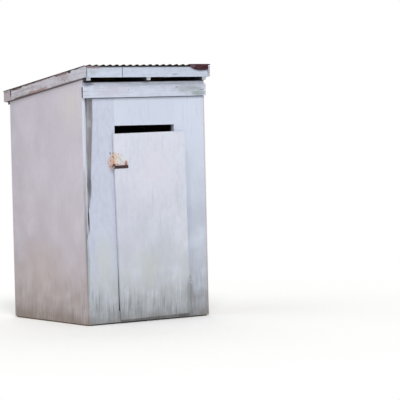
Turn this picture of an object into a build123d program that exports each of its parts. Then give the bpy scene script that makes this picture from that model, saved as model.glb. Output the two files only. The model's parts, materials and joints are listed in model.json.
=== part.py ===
from build123d import *
import math
import os

# Outhouse of painted plywood on a 2x4 frame, under a corrugated lean-to roof. Sizes in millimetres.
# The front faces -Y, +X is to its right, and the origin lies on the ground under the roof's middle.

# Body
framing_width = 1219
hut_depth = 1219
rafter_height = 2054
roof_pitch = 7.5
overhang = 72

# Sawn timber, boards and sheets
stud_wide = 89
stud_thick = 38
board_wide = 89
board_thick = 19
fascia_wide = 93
purlin_thick = 25
sheet_thick = 12
deck_thick = 18
eased_edge = 2.5
sheet_lift = 10
girt_height = 1000
rafter_seat = 1
purlin_count = 3
rafter_shift = 13

# Doorway and the slot left open above the door
doorway_width = 610
doorway_centre = -7
slot_top = 1678
slot_height = 58

# Door, hung a little out of plumb
door_head_width = 727
door_foot_width = 713
door_foot = 40
door_stand_off = 5
door_lean = 0.8
door_edge = 410
batten_clearance = 12
batten_foot = 130
batten_drop = 92

# Header board over the doorway, nailed on a little crooked, with its upper corners cut away
header_foot = 1919
header_height = 129
header_lean = 0.42
header_overrun = 9
header_notch_left = (10, 36)
header_notch_right = (26, 26)
fascia_joint = -266
joint_gap = 1.5

# Crooked front sheet that leaves the corner post bare: heights up its edge, and the width left bare at each
bare_width = 84
bare_foot = 725
bare_steps = ((785, 13), (985, 26), (1010, 35), (1070, 42), (1495, 67), (1730, 83))
front_sheet_top = 2040

# Corrugated roof sheets
wave_pitch = 67.7
wave_depth = 12.7
waves_per_sheet = 10
metal_thick = 0.8
lap_rise = 1.3
sheet_drip = 6
seat_gap = 0.3

# Rusty sheet at the roof's right corner, bent down over the fascia, with a torn lower edge
flap_start = 428
flap_end = 618
flap_low_point = 545
flap_shoulder = 458
flap_drop_left = 4
flap_drop_shoulder = 23
flap_drop_low = 39
flap_drop_right = 30
flap_length = 70
flap_bend = 2
flap_gap = 1.2
flap_trim = 8

# Left rake board: a broken notch in its head and a short separate piece at its back end
rake_notch_place = 230
rake_notch_width = 16
rake_notch_flare = 12
rake_notch_depth = 20
rake_end_length = 124
rake_end_gap = 6

# Butt hinges on the door's right edge
hinge_heights = (250, 1330)
knuckle_radius = 5
hinge_pin_radius = 2.2
pin_clearance = 0.1
knuckle_length = 25
knuckle_gap = 0.5
leaf_thick = 2
leaf_width = 30
leaf_clearance = 0.8

# Hasp and staple on the door's left edge
hasp_height = 1298
hasp_pin_inset = 95
hasp_knuckle_radius = 3.5
hasp_pin_radius = 1.5
hasp_thick = 2
hasp_width = 26
hasp_plate_length = 35
strap_gap = 1
strap_overrun = 16
staple_reach = 45
staple_width = 17
staple_wire = 5
staple_inset = 19
slot_clearance = 3

os.makedirs("parts", exist_ok=True)

slope = math.tan(math.radians(roof_pitch))
half_width = framing_width / 2
half_depth = hut_depth / 2
inner_depth = half_depth - sheet_thick
outer_width = half_width + sheet_thick
eave = half_depth + overhang
floor_height = stud_wide + deck_thick
doorway_left = doorway_centre - doorway_width / 2
doorway_right = doorway_centre + doorway_width / 2
rise = 1 / math.cos(math.radians(roof_pitch))


# Height of the rafters' underside at a distance along the depth
def underside(y):
    return rafter_height - (y + half_depth) * slope


# Heights above the rafters' underside, measured plumb
rafter_top = stud_wide * rise
roof_deck = rafter_top + purlin_thick * rise
rake_foot = roof_deck - board_wide * rise


def save(piece, label):
    piece.part.label = label
    export_step(piece.part, f"parts/{label}.step")


# Sawn timber run along a plane's normal from the plane's origin, with its long edges eased
def timber(label, plane, across, up, length):
    with BuildPart() as piece:
        with BuildSketch(plane) as section:
            Rectangle(across, up)
            chamfer(section.vertices(), eased_edge)
        extrude(amount=length)
    save(piece, label)


# Board or sheet cut to an outline and given its thickness along the plane's normal
def cut_sheet(label, plane, corners, thick):
    with BuildPart() as piece:
        with BuildSketch(plane):
            with BuildLine():
                Polyline(*corners, close=True)
            make_face()
        extrude(amount=thick)
    save(piece, label)


# Outline that follows the roof between two plumb ends
def roof_outline(front, back, low, high):
    return [
        (front, underside(front) + low),
        (back, underside(back) + low),
        (back, underside(back) + high),
        (front, underside(front) + high),
    ]


# Floor: three runners on edge under a plywood deck
runner_length = 2 * inner_depth
runner_offset = half_width - stud_thick / 2
for label, x in (("skid_left", -runner_offset), ("skid_centre", 0), ("skid_right", runner_offset)):
    plane = Plane(origin=(x, -inner_depth, stud_wide / 2), x_dir=(1, 0, 0), z_dir=(0, 1, 0))
    timber(label, plane, stud_thick, stud_wide, runner_length)

deck_outline = [
    (-half_width, -inner_depth),
    (half_width, -inner_depth),
    (half_width, inner_depth),
    (-half_width, inner_depth),
]
cut_sheet("floor_deck", Plane.XY.offset(stud_wide), deck_outline, deck_thick)

# Plates that carry the rafters, on edge along the front and back
front_plate_top = underside(-inner_depth) + rafter_seat
back_plate_top = underside(inner_depth - stud_thick) + rafter_seat
plate_line = inner_depth - stud_thick / 2
for label, y, top in (("front_plate", -plate_line, front_plate_top), ("back_plate", plate_line, back_plate_top)):
    plane = Plane(origin=(-half_width, y, top - stud_wide / 2), x_dir=(0, 1, 0), z_dir=(1, 0, 0))
    timber(label, plane, stud_thick, stud_wide, framing_width)

# Corner posts and door studs, all flat to the front and back walls
post_line = half_width - stud_wide / 2
front_post_length = front_plate_top - stud_wide - floor_height
back_post_length = back_plate_top - stud_wide - floor_height
uprights = (
    ("corner_post_front_left", -post_line, -plate_line, front_post_length),
    ("corner_post_front_right", post_line, -plate_line, front_post_length),
    ("corner_post_back_left", -post_line, plate_line, back_post_length),
    ("corner_post_back_right", post_line, plate_line, back_post_length),
    ("door_stud_left", doorway_left - stud_wide / 2, -plate_line, front_post_length),
    ("door_stud_right", doorway_right + stud_wide / 2, -plate_line, front_post_length),
)
for label, x, y, length in uprights:
    timber(label, Plane(origin=(x, y, floor_height)), stud_wide, stud_thick, length)

head_plane = Plane(
    origin=(doorway_left, -plate_line, slot_top + stud_wide / 2), x_dir=(0, 1, 0), z_dir=(1, 0, 0)
)
timber("door_head", head_plane, stud_thick, stud_wide, doorway_width)

# Girts half way up the side walls, between the posts
girt_line = half_width - stud_thick / 2
for label, x in (("side_girt_left", -girt_line), ("side_girt_right", girt_line)):
    plane = Plane(origin=(x, -inner_depth + stud_thick, girt_height), x_dir=(1, 0, 0), z_dir=(0, 1, 0))
    timber(label, plane, stud_thick, stud_wide, 2 * (inner_depth - stud_thick))

# Side walls: one sheet each, its head cut to the roof's fall
side_outline = [
    (-half_depth, sheet_lift),
    (half_depth, sheet_lift),
    (half_depth, underside(half_depth) + rafter_top - seat_gap),
    (-half_depth, underside(-half_depth) + rafter_top - seat_gap),
]
cut_sheet("left_wall", Plane.YZ.offset(-outer_width), side_outline, sheet_thick)
cut_sheet("right_wall", Plane.YZ.offset(half_width), side_outline, sheet_thick)

# Back wall, between the side sheets and up to the rafters
back_outline = [
    (-half_width, sheet_lift),
    (half_width, sheet_lift),
    (half_width, underside(half_depth) - seat_gap),
    (-half_width, underside(half_depth) - seat_gap),
]
cut_sheet("back_wall", Plane.XZ.offset(-half_depth), back_outline, sheet_thick)

# Front wall in four sheets round the doorway
front_plane = Plane.XZ.offset(inner_depth)
left_outline = [
    (-half_width, sheet_lift),
    (doorway_left, sheet_lift),
    (doorway_left, front_sheet_top),
    (-half_width + bare_width, front_sheet_top),
    *[(-half_width + bare, height) for height, bare in reversed(bare_steps)],
    (-half_width, bare_foot),
]
cut_sheet("front_wall_left", front_plane, left_outline, sheet_thick)

right_outline = [
    (doorway_right, sheet_lift),
    (half_width, sheet_lift),
    (half_width, front_sheet_top),
    (doorway_right, front_sheet_top),
]
cut_sheet("front_wall_right", front_plane, right_outline, sheet_thick)

top_outline = [
    (doorway_left, slot_top),
    (doorway_right, slot_top),
    (doorway_right, front_sheet_top),
    (doorway_left, front_sheet_top),
]
cut_sheet("front_wall_top", front_plane, top_outline, sheet_thick)

sill_outline = [
    (doorway_left, sheet_lift),
    (doorway_right, sheet_lift),
    (doorway_right, floor_height),
    (doorway_left, floor_height),
]
cut_sheet("front_wall_sill", front_plane, sill_outline, sheet_thick)

# Header board, nailed over the front sheets
header_end = outer_width + header_overrun
header_lift = math.radians(header_lean)
header_plane = Plane(
    origin=(0, -half_depth, header_foot),
    x_dir=(math.cos(header_lift), 0, math.sin(header_lift)),
    z_dir=(0, -1, 0),
)
header_outline = [
    (-header_end, 0),
    (header_end, 0),
    (header_end, header_height - header_notch_right[1]),
    (header_end - header_notch_right[0], header_height - header_notch_right[1]),
    (header_end - header_notch_right[0], header_height),
    (-header_end + header_notch_left[0], header_height),
    (-header_end + header_notch_left[0], header_height - header_notch_left[1]),
    (-header_end, header_height - header_notch_left[1]),
]
cut_sheet("header_board", header_plane, header_outline, board_thick)

# Rafters, notched over both plates, with plumb ends behind the fascias
rafter_end = eave - board_thick
for label, x in (("rafter_left", -girt_line), ("rafter_centre", rafter_shift), ("rafter_right", girt_line)):
    plane = Plane.YZ.offset(x - stud_thick / 2)
    with BuildPart() as rafter:
        with BuildSketch(plane):
            with BuildLine():
                Polyline(*roof_outline(-rafter_end, rafter_end, 0, rafter_top), close=True)
            make_face()
        extrude(amount=stud_thick)
        with BuildSketch(plane):
            with Locations((-plate_line, front_plate_top - stud_wide / 2)):
                Rectangle(stud_thick, stud_wide)
            with Locations((plate_line, back_plate_top - stud_wide / 2)):
                Rectangle(stud_thick, stud_wide)
        extrude(amount=stud_thick, mode=Mode.SUBTRACT)
    save(rafter, label)

# Purlins laid flat across the rafters
purlin_names = ("purlin_front", "purlin_middle", "purlin_back")
purlin_step = (2 * rafter_end - board_wide) / (purlin_count - 1)
for place, label in enumerate(purlin_names):
    start = -rafter_end + place * purlin_step
    outline = roof_outline(start, start + board_wide, rafter_top, roof_deck)
    cut_sheet(label, Plane.YZ.offset(-outer_width), outline, 2 * outer_width)


# Fascia section, its head bevelled to the roof
def fascia_outline(outer, inner):
    foot = underside(outer) + roof_deck - fascia_wide
    return [
        (outer, foot),
        (inner, foot),
        (inner, underside(inner) + roof_deck),
        (outer, underside(outer) + roof_deck),
    ]


# Front fascia of two boards butted over the left bay, and one board at the back
with BuildPart() as front_fascia:
    for start, end in ((-outer_width, fascia_joint), (fascia_joint + joint_gap, outer_width)):
        with BuildSketch(Plane.YZ.offset(start)):
            with BuildLine():
                Polyline(*fascia_outline(-eave, -rafter_end), close=True)
            make_face()
        extrude(amount=end - start)
save(front_fascia, "front_fascia")
cut_sheet("back_fascia", Plane.YZ.offset(-outer_width), fascia_outline(eave, rafter_end), 2 * outer_width)

# Rake boards outside the side walls, the left one pieced out at its back end
left_rake_end = eave - rake_end_length
notch_front = -eave + rake_notch_place
notch_back = notch_front + rake_notch_width
notch_floor = roof_deck - rake_notch_depth
rake_left = roof_outline(-eave, left_rake_end - rake_end_gap, rake_foot, roof_deck)
rake_left[3:3] = [
    (notch_back + rake_notch_flare, underside(notch_back + rake_notch_flare) + roof_deck),
    (notch_back, underside(notch_back) + notch_floor),
    (notch_front, underside(notch_front) + notch_floor),
    (notch_front - rake_notch_flare, underside(notch_front - rake_notch_flare) + roof_deck),
]
rake_end = roof_outline(left_rake_end, eave, rake_foot, roof_deck)
rake_right = roof_outline(-eave, eave, rake_foot, roof_deck)
rake_plane_left = Plane.YZ.offset(-outer_width - board_thick)
cut_sheet("rake_board_left", rake_plane_left, rake_left, board_thick)
cut_sheet("rake_end_left", rake_plane_left, rake_end, board_thick)
cut_sheet("rake_board_right", Plane.YZ.offset(outer_width), rake_right, board_thick)

# Corrugated sheets, each wave two arcs, run down the roof's fall; the back drips as far as the flap stands out
sheet_eave = eave + sheet_drip
sheet_run = 2 * sheet_eave + flap_gap + metal_thick
sheet_width = waves_per_sheet * wave_pitch
fall = Vector(0, 1, -slope)
half_wave = wave_pitch / 2


def wave_arcs(start, height, steps):
    for step in steps:
        near = start + step * half_wave
        far = near + half_wave
        swing = wave_depth / 2 if step % 2 else -wave_depth / 2
        ThreePointArc((near, height), ((near + far) / 2, height + swing), (far, height))


sheet_base = underside(-sheet_eave) + roof_deck + seat_gap + wave_depth / 2
right_base = sheet_base + lap_rise
left_start = -(2 * waves_per_sheet - 1) * wave_pitch / 2
right_start = -wave_pitch / 2
steps = range(2 * waves_per_sheet)
for label, start, base in (
    ("roof_sheet_left", left_start, sheet_base),
    ("roof_sheet_right", right_start, right_base),
):
    with BuildPart() as roof_sheet:
        with BuildSketch(Plane.XZ.offset(sheet_eave)):
            with BuildLine():
                wave_arcs(start, base, steps)
                wave_arcs(start, base + metal_thick, steps)
                for end in (start, start + sheet_width):
                    Line((end, base), (end, base + metal_thick))
            make_face()
        extrude(amount=sheet_run * fall.length, dir=fall)
    save(roof_sheet, label)

# Corner flap: a strip of sheet laid on the wave crests and bent down in front of the fascia
flap_inner = -sheet_eave - flap_gap
flap_outer = flap_inner - metal_thick
flap_back = flap_inner + flap_length
fascia_head = underside(-eave) + roof_deck
flap_foot = fascia_head - flap_drop_low - flap_trim
crest = roof_deck + wave_depth + metal_thick + lap_rise + 2 * seat_gap
with BuildPart() as flap:
    with BuildSketch(Plane.YZ.offset(flap_start)):
        with BuildLine():
            FilletPolyline(
                (flap_back, underside(flap_back) + crest + metal_thick),
                (flap_outer, underside(flap_outer) + crest + metal_thick),
                (flap_outer, flap_foot),
                radius=flap_bend + metal_thick,
            )
            FilletPolyline(
                (flap_back, underside(flap_back) + crest),
                (flap_inner, underside(flap_inner) + crest),
                (flap_inner, flap_foot),
                radius=flap_bend,
            )
            Line((flap_back, underside(flap_back) + crest), (flap_back, underside(flap_back) + crest + metal_thick))
            Line((flap_inner, flap_foot), (flap_outer, flap_foot))
        make_face()
    extrude(amount=flap_end - flap_start)
    with BuildSketch(Plane.XZ.offset(-flap_outer)):
        with BuildLine():
            Spline(
                (flap_start, fascia_head - flap_drop_left),
                (flap_shoulder, fascia_head - flap_drop_shoulder),
                (flap_low_point, fascia_head - flap_drop_low),
                (flap_end, fascia_head - flap_drop_right),
            )
            Polyline(
                (flap_start, fascia_head - flap_drop_left),
                (flap_start, flap_foot),
                (flap_end, flap_foot),
                (flap_end, fascia_head - flap_drop_right),
            )
        make_face()
    extrude(amount=-2 * metal_thick, mode=Mode.SUBTRACT)
save(flap, "roof_corner_flap")

# Door: one sheet hung on a line that leans with it, stiffened by two battens in the doorway
lean = math.radians(door_lean)
door_right = Vector(math.cos(lean), 0, math.sin(lean))
door_up = Vector(-math.sin(lean), 0, math.cos(lean))
door_back = -half_depth - door_stand_off
door_face = door_back - board_thick
door_height = (slot_top - slot_height - door_foot) / math.cos(lean)


# Plane facing out of the door, with its origin at the foot of the hinged edge
def door_plane(y):
    return Plane(origin=(door_edge, y, door_foot), x_dir=door_right, z_dir=(0, -1, 0))


# Place across the door for a distance from the hut's middle, at a height up the door
def across_door(x, height):
    return (x - door_edge + height * math.sin(lean)) / math.cos(lean)


door_outline = [
    (0, 0),
    (0, door_height),
    (-door_head_width, door_height),
    (-door_foot_width, 0),
]
cut_sheet("door_panel", door_plane(door_back), door_outline, board_thick)

batten_head = door_height - batten_drop - board_wide
for label, height in (("door_batten_lower", batten_foot), ("door_batten_upper", batten_head)):
    left = across_door(doorway_left + batten_clearance, height + board_wide)
    right = across_door(doorway_right - batten_clearance, height)
    outline = [
        (left, height),
        (right, height),
        (right, height + board_wide),
        (left, height + board_wide),
    ]
    cut_sheet(label, door_plane(door_back + board_thick), outline, board_thick)

# Butt hinges: the wall leaf carries the pin and two knuckles, the door leaf turns between them
pin_across = leaf_thick + knuckle_radius
pin_line = -half_depth - knuckle_radius
hinge_length = 3 * knuckle_length + 2 * knuckle_gap


def hinge_plane(height):
    foot = Vector(door_edge, pin_line, door_foot) + door_right * pin_across + door_up * height
    return Plane(origin=foot, x_dir=door_right, z_dir=door_up)


leaf_reach = knuckle_radius + leaf_clearance
door_leaf_reach = pin_line - door_face
for label, height in zip(("lower", "upper"), hinge_heights):
    with BuildPart() as wall_leaf:
        with BuildSketch(hinge_plane(height)):
            Circle(hinge_pin_radius)
        extrude(amount=hinge_length)
        for start in (height, height + 2 * (knuckle_length + knuckle_gap)):
            with BuildSketch(hinge_plane(start)):
                Circle(knuckle_radius)
                with Locations((0, knuckle_radius - leaf_thick)):
                    Rectangle(leaf_reach, leaf_thick, align=(Align.MIN, Align.MIN))
            extrude(amount=knuckle_length)
        with BuildSketch(hinge_plane(height)):
            with Locations((leaf_reach, knuckle_radius - leaf_thick)):
                Rectangle(leaf_width, leaf_thick, align=(Align.MIN, Align.MIN))
        extrude(amount=hinge_length)
    save(wall_leaf, f"hinge_wall_leaf_{label}")

    middle = height + knuckle_length + knuckle_gap
    with BuildPart() as door_leaf:
        with BuildSketch(hinge_plane(middle)):
            Circle(knuckle_radius)
            with Locations((-pin_across, 0)):
                Rectangle(leaf_thick, leaf_reach, align=(Align.MIN, Align.MAX))
            with Locations((-knuckle_radius, 0)):
                Rectangle(knuckle_radius, leaf_thick, align=(Align.MIN, Align.MAX))
            with Locations((-pin_across, 0)):
                Rectangle(leaf_thick, leaf_thick, align=(Align.MIN, Align.MAX))
            Circle(hinge_pin_radius + pin_clearance, mode=Mode.SUBTRACT)
        extrude(amount=knuckle_length)
        with BuildSketch(hinge_plane(height)):
            with Locations((-pin_across, -leaf_reach)):
                Rectangle(leaf_thick, door_leaf_reach - leaf_reach, align=(Align.MIN, Align.MAX))
        extrude(amount=hinge_length)
    save(door_leaf, f"hinge_door_leaf_{label}")

# Hasp: a plate and pin on the door, and a slotted strap that swings over the staple on the wall
door_left_edge = door_foot_width + (door_head_width - door_foot_width) * hasp_height / door_height
hasp_across = hasp_pin_inset - door_left_edge
hasp_line = door_face - hasp_knuckle_radius
hasp_third = hasp_width / 3


def hasp_plane(height):
    foot = Vector(door_edge, hasp_line, door_foot) + door_right * hasp_across + door_up * height
    return Plane(origin=foot, x_dir=door_right, z_dir=door_up)


hasp_foot = hasp_height - hasp_width / 2
hasp_reach = hasp_knuckle_radius + leaf_clearance
with BuildPart() as hasp_plate:
    with BuildSketch(hasp_plane(hasp_foot)):
        Circle(hasp_pin_radius)
    extrude(amount=hasp_width)
    for start in (hasp_foot, hasp_foot + 2 * hasp_third + knuckle_gap / 2):
        with BuildSketch(hasp_plane(start)):
            Circle(hasp_knuckle_radius)
            with Locations((0, hasp_knuckle_radius)):
                Rectangle(hasp_reach, hasp_thick, align=(Align.MIN, Align.MAX))
        extrude(amount=hasp_third - knuckle_gap / 2)
    with BuildSketch(hasp_plane(hasp_foot)):
        with Locations((hasp_reach, hasp_knuckle_radius)):
            Rectangle(hasp_plate_length, hasp_thick, align=(Align.MIN, Align.MAX))
    extrude(amount=hasp_width)
save(hasp_plate, "hasp_plate")

staple_across = -door_left_edge - staple_inset
slot_length = staple_width + staple_wire + 2 * slot_clearance
strap_end = hasp_across - staple_across + slot_length / 2 + strap_overrun / 2
strap_round = hasp_width / 2
strap_back = hasp_knuckle_radius - strap_gap


# Plane facing out of the door at the hasp's height, its origin above the door's foot
def hasp_face(y):
    origin = Vector(door_edge, y, door_foot) + door_up * hasp_height
    return Plane(origin=origin, x_dir=door_right, z_dir=(0, -1, 0))


strap_left = hasp_across - strap_end
strap_right = hasp_across - hasp_reach
with BuildPart() as hasp_strap:
    with BuildSketch(hasp_plane(hasp_foot + hasp_third + knuckle_gap / 2)):
        Circle(hasp_knuckle_radius)
        with Locations((0, strap_back)):
            Rectangle(hasp_reach, hasp_thick, align=(Align.MAX, Align.MAX))
        Circle(hasp_pin_radius + pin_clearance, mode=Mode.SUBTRACT)
    extrude(amount=hasp_third - knuckle_gap)
    with BuildSketch(hasp_face(door_face - strap_gap)):
        with Locations((strap_left + strap_round, 0)):
            Rectangle(strap_right - strap_left - strap_round, hasp_width, align=(Align.MIN, Align.CENTER))
            Circle(strap_round)
        with Locations((staple_across, 0)):
            Rectangle(slot_length, staple_wire + 2 * slot_clearance, mode=Mode.SUBTRACT)
    extrude(amount=hasp_thick)
save(hasp_strap, "hasp_strap")

# Staple forged to a U, driven into the wall sheet's face
staple_plane = Plane(
    origin=Vector(door_edge, -half_depth, door_foot) + door_up * (hasp_height - staple_wire / 2)
    + door_right * staple_across,
    x_dir=door_right,
    z_dir=door_up,
)
bend_centre = staple_reach - (staple_width + staple_wire) / 2
with BuildPart() as staple:
    with BuildSketch(staple_plane):
        with Locations((0, -bend_centre)):
            Circle((staple_width + staple_wire) / 2)
        Rectangle(staple_width + staple_wire, bend_centre, align=(Align.CENTER, Align.MAX))
        with Locations((0, -bend_centre)):
            Circle((staple_width - staple_wire) / 2, mode=Mode.SUBTRACT)
        Rectangle(
            staple_width - staple_wire, bend_centre, align=(Align.CENTER, Align.MAX), mode=Mode.SUBTRACT
        )
    extrude(amount=staple_wire)
    chamfer(staple.edges().group_by(Axis.Z)[-1] + staple.edges().group_by(Axis.Z)[0], staple_wire / 4)
save(staple, "hasp_staple")
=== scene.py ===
import json
import math
import random
from collections import namedtuple

import bmesh
import bpy
from mathutils import Matrix, Vector


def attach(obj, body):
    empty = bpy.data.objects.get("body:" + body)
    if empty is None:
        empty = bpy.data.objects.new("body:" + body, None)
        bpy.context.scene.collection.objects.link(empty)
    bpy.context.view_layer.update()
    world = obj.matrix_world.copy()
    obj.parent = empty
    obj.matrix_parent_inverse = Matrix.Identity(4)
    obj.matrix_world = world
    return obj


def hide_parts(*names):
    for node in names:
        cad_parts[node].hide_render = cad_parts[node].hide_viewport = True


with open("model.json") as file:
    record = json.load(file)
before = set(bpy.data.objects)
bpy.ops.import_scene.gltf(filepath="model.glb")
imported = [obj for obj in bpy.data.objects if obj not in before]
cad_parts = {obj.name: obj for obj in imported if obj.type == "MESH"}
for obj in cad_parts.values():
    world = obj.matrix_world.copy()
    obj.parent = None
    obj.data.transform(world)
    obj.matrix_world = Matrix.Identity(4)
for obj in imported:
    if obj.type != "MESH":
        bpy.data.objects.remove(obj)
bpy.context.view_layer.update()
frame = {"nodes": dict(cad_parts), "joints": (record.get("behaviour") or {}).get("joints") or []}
nodes = frame["nodes"]
joints = {joint["name"]: joint for joint in frame["joints"]}
chance = random.Random(7)
print("outhouse frame loaded:", len(nodes), "nodes")

# Faces of the hut that the finishes and fittings are placed by, in metres
hut = {
    "frontFace": -0.6095,
    "sideFace": 0.6215,
    "rakeFace": 0.6405,
    "doorFace": -0.6335,
    "headerFace": -0.6285,
    "fasciaFace": -0.6815,
    "roofPitch": math.radians(7.5),
    "rakeFoot": 1.99897,  # plumb height of the rake boards' lower edge over the middle of the hut
}


# Turns an sRGB hex code to linear; a colour that a node gives passes through
def linearColour(colour):
    if not isinstance(colour, str):
        return colour
    channels = [int(colour[i:i + 2], 16) / 255 for i in (1, 3, 5)]
    return [c / 12.92 if c <= 0.04045 else ((c + 0.055) / 1.055) ** 2.4 for c in channels] + [1.0]


# Adds a shader node, sets it up, links or fills its inputs, and hands back one output
def addNode(tree, kind, inputs, out=0, **settings):
    made = tree.nodes.new("ShaderNode" + kind)
    for name, value in settings.items():
        setattr(made, name, value)
    for name, value in inputs.items():
        if isinstance(value, bpy.types.NodeSocket):
            tree.links.new(value, made.inputs[name])
        else:
            made.inputs[name].default_value = value
    return made.outputs[out]


def startMaterial(name, shaderValues):
    material = bpy.data.materials.new(name)
    material.use_nodes = True
    tree = material.node_tree
    for socket, value in shaderValues.items():
        tree.nodes["Principled BSDF"].inputs[socket].default_value = value
    return material, tree, addNode(tree, "TexCoord", {}, out="Object")


def finishMaterial(material, inputs):
    tree = material.node_tree
    for socket, value in inputs.items():
        tree.links.new(value, tree.nodes["Principled BSDF"].inputs[socket])
    return material


def dress(nodeNames, material):
    for nodeName in nodeNames:
        for materialSlot in nodes[nodeName].material_slots:
            materialSlot.material = material


# Noise with features of a real width in millimetres, drawn out along one axis for fibres and streaks
def realNoise(tree, place, sizeMm, along=None, stretch=1, detail=3.0):
    if stretch > 1:
        scale = [1.0, 1.0, 1.0]
        scale["XYZ".index(along)] = 1 / stretch
        place = addNode(tree, "Mapping", {"Vector": place, "Scale": scale})
    return addNode(tree, "TexNoise", {"Vector": place, "Scale": 1000 / sizeMm, "Detail": detail})


# Where such noise rises past a level: blotches, specks or lines, up to a given strength
def noiseMask(tree, place, sizeMm, low, high, strength=1.0, **drawn):
    noise = realNoise(tree, place, sizeMm, **drawn)
    return addNode(tree, "MapRange", {"Value": noise, "From Min": low, "From Max": high, "To Max": strength})


# Share of the surface past a plane, given by its direction, its level and how soft it is
def pastPlane(tree, place, direction, level, soft, strength=1.0):
    along = addNode(tree, "VectorMath", {0: place, 1: direction}, out="Value", operation="DOT_PRODUCT")
    return addNode(
        tree, "MapRange",
        {"Value": along, "From Min": level, "From Max": level + soft, "To Max": strength},
    )


# A stain, or a patch of painted shade or highlight, is an ellipse on a piece's face: centre and reach in
# metres along the face and up, colour, grain of its torn edge in millimetres, strength and softness. The edge
# may be drawn out along the wood, so many times, and be more or less ragged, and a stain may peel the paint
# or break into specks
stainOrPaintedLightAt = namedtuple(
    "stainOrPaintedLightAt", "centre reach colour grainMm strength soft drawn ragged peel speckMm",
    defaults=(25, 1.0, 0.5, 1, 0.7, False, None),
)


def stainOrPaintedLightMask(tree, place, stainOrLight, through="Y", along="Z"):
    centre, reach = list(stainOrLight.centre), list(stainOrLight.reach)
    centre.insert("XYZ".index(through), 0)
    reach.insert("XYZ".index(through), 1000)  # no end through the piece
    local = addNode(
        tree, "Mapping", {"Vector": place, "Location": centre, "Scale": reach}, vector_type="TEXTURE"
    )
    middle = addNode(tree, "VectorMath", {0: local}, out="Value", operation="LENGTH")
    edge = realNoise(tree, place, stainOrLight.grainMm, along, stainOrLight.drawn)
    worn = addNode(tree, "Math", {0: edge, 1: stainOrLight.ragged * 2, 2: middle}, operation="MULTIPLY_ADD")
    goneAt = 1 + stainOrLight.ragged
    return addNode(
        tree, "MapRange",
        {"Value": worn, "From Min": goneAt, "From Max": goneAt - stainOrLight.soft, "To Max": stainOrLight.strength},
    )


# Lays colours over one another, each through the product of its masks
def layColours(tree, colour, layers):
    colour = linearColour(colour)
    for coat, mask, *others in layers:
        for other in others:
            mask = addNode(tree, "Math", {0: mask, 1: other}, operation="MULTIPLY")
        colour = addNode(tree, "Mix", {0: mask, 6: colour, 7: linearColour(coat)}, out=2, data_type="RGBA")
    return colour


# Relief from masks that each raise or sink the surface by a share of the whole depth
def reliefFrom(tree, masks, depth, strength=0.5):
    height = 0.0
    for mask, share in masks:
        height = addNode(tree, "Math", {0: mask, 1: share, 2: height}, operation="MULTIPLY_ADD")
    return addNode(tree, "Bump", {"Height": height, "Strength": strength, "Distance": depth})


# Exterior house paint, brushed on softwood boards and fir plywood many coats thick and now chalky: dull, with
# the grain just showing through, fine drying checks, splashed dirt low down and bare patches where it peeled
paintDefaults = {
    "coats": ("#C6CCDA", "#BFC5D4"),  # the paint, and its clouds
    "cloudMm": 420,
    "blotchMm": 200,
    "mottleMm": 36,
    "mottleStrength": 0.12,
    "along": "Z",
    "grainMm": 7,
    "grainStrength": 0.12,
    "grainColour": "#9FA6B2",
    "checkMm": 14,  # real checks are hairlines 3 mm apart, drawn coarser so that they show
    "checkStrength": 0.14,
    "checkColour": "#85888F",
    "speckMm": 12,
    "speckStrength": 0.25,  # mildew dots a few millimetres wide
    "speckColour": "#77777C",
    "tilt": 0.0,
    "through": "Y",  # the axis across the piece's face, which its stains go through
    "fades": [],  # slow changes of tone past a level: direction, level, softness, colour and strength
    "lines": [],  # narrow lines past a level, given likewise: painted shadow under boards and sheet edges, dark end grain
    "stainsAndPaintedLight": [],
    "splash": None,
    "rawPast": None,  # the sheet's unpainted back, past a plane given likewise
    "rawColour": "#8C7050",
    "rawLate": "#664C33",
}


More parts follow.
